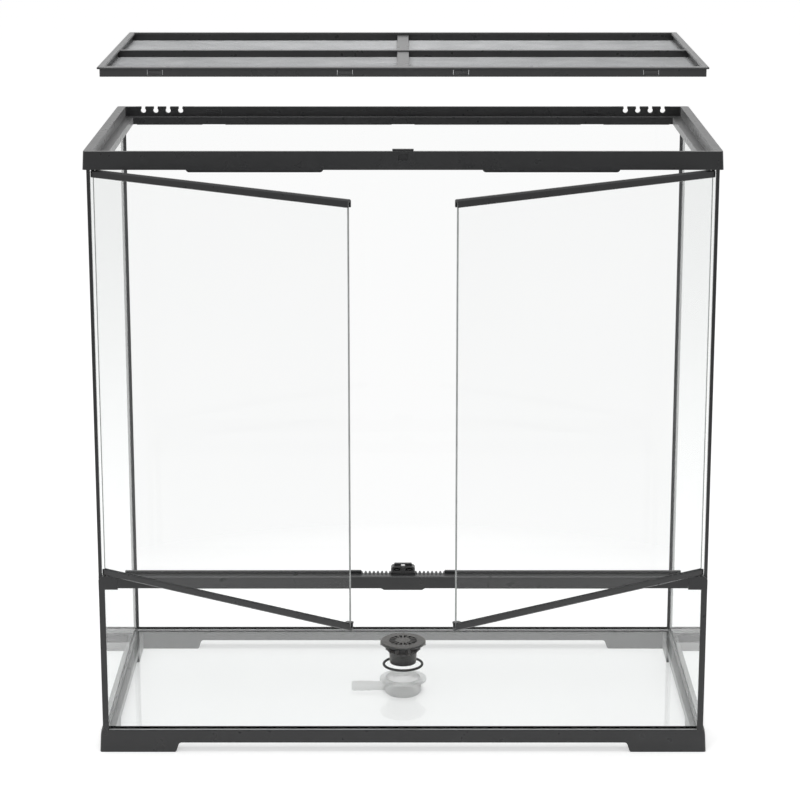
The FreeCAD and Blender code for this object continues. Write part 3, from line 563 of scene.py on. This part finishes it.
# %% Door panes
joint_of = {joint["name"]: joint for joint in frame["joints"]}
for side in ("left", "right"):
    node = side + "_door_glass"
    hinge = joint_of[side + "_door_swing"]
    pivot = Vector(hinge["pos_m"])
    opened = -math.radians(hinge["range_deg"][0]) * hinge["axis"][2]
    turn_shut = Matrix.Rotation(-opened, 3, "Z")
    shut = [turn_shut @ (vertex.co - pivot) + pivot for vertex in nodes[node].data.vertices]
    low = [min(point[axis] for point in shut) for axis in range(3)]
    high = [max(point[axis] for point in shut) for axis in range(3)]
    pane = cube_between(node + "_pane", low, high)
    bevel_all(edge_bevel, 1)
    glaze(pane, 1, clear_glass)
    bpy.ops.transform.rotate(value=-opened, orient_axis="Z", center_override=pivot)
    bpy.ops.object.transform_apply(location=True, rotation=True, scale=True)
    stand_for(pane, node)
    pane_low = Vector([min(vertex.co[axis] for vertex in pane.data.vertices) for axis in range(3)])
    gap = (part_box(node)[0] - pane_low).length
    print(node, "opened", round(math.degrees(opened)), "degrees")
    print("off its node by", round(gap * 1000, 3), "mm")

# %% [markdown]
# ## Softened mouldings
#
# No moulded edge is knife sharp, and the thin bright line along it is what tells the eye that it is
# plastic. The CAD solids have their main roundings but not that last half millimetre. A copy of each
# node's mesh is merged, because it comes as loose triangles, its flat faces are made whole again, and
# a bevel modifier then rounds whatever edge is sharper than thirty degrees. Smooth shading would bend
# the light on the long flat faces beside the bevels, so their normals are weighted by area, which
# keeps them flat.


# %% Softened copies
def softened(node, width, finish, segments=2):
    """A copy of a CAD node whose sharp edges are rounded by a small bevel."""
    start_piece(node + "_moulding")
    piece = bpy.data.objects.new(node + "_moulding", nodes[node].data.copy())
    bpy.context.scene.collection.objects.link(piece)
    piece.select_set(True)
    bpy.context.view_layer.objects.active = piece
    bpy.ops.object.mode_set(mode="EDIT")
    bpy.ops.mesh.select_all(action="SELECT")
    bpy.ops.mesh.remove_doubles(threshold=0.00001)
    bpy.ops.mesh.dissolve_limited(angle_limit=math.radians(0.5))
    bpy.ops.object.mode_set(mode="OBJECT")
    soft = piece.modifiers.new("soft_edges", "BEVEL")
    soft.width = width
    soft.segments = segments
    soft.limit_method = "ANGLE"
    soft.angle_limit = math.radians(30)
    bpy.ops.object.modifier_apply(modifier=soft.name)
    bpy.ops.object.shade_smooth_by_angle(angle=math.radians(40))
    flat = piece.modifiers.new("flat_faces", "WEIGHTED_NORMAL")
    flat.mode = "FACE_AREA"
    flat.weight = 100
    flat.keep_sharp = True
    bpy.ops.object.modifier_apply(modifier=flat.name)
    piece.data.materials.clear()
    piece.data.materials.append(finish)
    stand_for(piece, node)
    return piece


large_mouldings = ["base_frame", "top_frame", "crossbar", "lid_frame"]
pairs_of_mouldings = ["post", "edge_trim", "top_rail", "bottom_rail"]
for kind in pairs_of_mouldings:
    large_mouldings += ["right_" + kind, "left_" + kind]
for node in large_mouldings:
    piece = softened(node, 0.0006, lid_black if node == "lid_frame" else frame_black)
    print(node, len(piece.data.polygons), "faces")

# %% [markdown]
# ## The wire cloth in the lid
#
# The lid is closed by a cloth of fine wire, so that air and light come through and insects do not.
# Each of the four panels lies in its own bay. One wire is added as a six-sided cylinder, laid across
# the bay, and repeated by an array modifier. A second layer runs the other way and lies on the first.
# The real wires weave over and under, but at a pitch under two millimetres that never shows.

# %% Wire cloth
wire_pitch = 0.0018
wire_sides = 6


def wire_layer(name, low, high, along, centre_z, radius):
    """Parallel wires along x (0) or y (1) that fill a bay."""
    across = 1 - along
    length = high[along] - low[along]
    count = int((high[across] - low[across] - 2 * radius) / wire_pitch) + 1
    place = [(low[0] + high[0]) / 2, (low[1] + high[1]) / 2, centre_z]
    place[across] = low[across] + radius
    start_piece(name)
    bpy.ops.mesh.primitive_cylinder_add(vertices=wire_sides, radius=radius, depth=length, location=place)
    wire = bpy.context.object
    wire.name = name
    bpy.ops.transform.rotate(value=math.pi / 2, orient_axis="Y" if along == 0 else "X",
                             center_override=place)
    bpy.ops.object.transform_apply(location=True, rotation=True, scale=True)
    row = wire.modifiers.new("row_of_wires", "ARRAY")
    row.use_relative_offset = False
    row.use_constant_offset = True
    row.count = count
    row.constant_offset_displace = (0, wire_pitch, 0) if across == 1 else (wire_pitch, 0, 0)
    bpy.ops.object.modifier_apply(modifier=row.name)
    return wire


for bay in ("left_front", "right_front", "left_rear", "right_rear"):
    node = bay + "_screen"
    low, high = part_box(node)
    radius = (high.z - low.z) / 4
    lower = wire_layer(bay + "_wires", low, high, 0, low.z + radius, radius)
    upper = wire_layer(bay + "_cross_wires", low, high, 1, high.z - radius, radius)
    start_piece(bay + "_cloth")
    upper.select_set(True)
    lower.select_set(True)
    bpy.context.view_layer.objects.active = lower
    bpy.ops.object.join()
    lower.name = bay + "_cloth"
    lower.data.materials.append(screen_wire)
    stand_for(lower, node)
    print(lower.name, len(lower.data.polygons), "faces")

# %% [markdown]
# ## Small mouldings
#
# The lock, the latch, the covers of the vent and the strainer are small, so their edges take a finer
# bevel. They are made in the same way as the large mouldings.

# %% Small mouldings
small_mouldings = {
    "lock_housing": (0.0003, lock_black, "frame_black"),
    "lock_button": (0.0003, lock_black, "frame_black"),
    "lid_latch": (0.0003, frame_black, "frame_black"),
    "right_vent_cover": (0.0002, frame_black, "frame_black"),
    "left_vent_cover": (0.0002, frame_black, "frame_black"),
    "vent_grille": (0.0003, vent_grey, "vent_grey"),
    "drain_strainer": (0.0004, drain_black, "drain_black"),
    "drain_elbow": (0.0004, elbow_clear, "elbow_clear"),
}
for node, (width, finish, slot) in small_mouldings.items():
    piece = softened(node, width, finish)
    print(node, len(piece.data.polygons), "faces")

# %% [markdown]
# ## Pieces that keep their CAD shape
#
# The beads of silicone, the seal, the pins, the spring, the catches and the sliders are right as they
# are: round, very small or almost hidden. They keep their CAD meshes, and only their material slots
# are filled.

# %% Finishes on CAD nodes
kept_shapes = {
    "rear_seams": silicone, "floor_seams": clear_silicone, "drain_seal": seal_rubber,
    "right_hinge_pins": pin_steel, "left_hinge_pins": pin_steel, "lock_spring": spring_steel,
    "lid_catches": frame_black, "right_inlet_slider": frame_black, "left_inlet_slider": frame_black,
}
for node, finish in kept_shapes.items():
    for material_slot in nodes[node].material_slots:
        material_slot.material = finish
print("kept", len(kept_shapes), "CAD shapes")
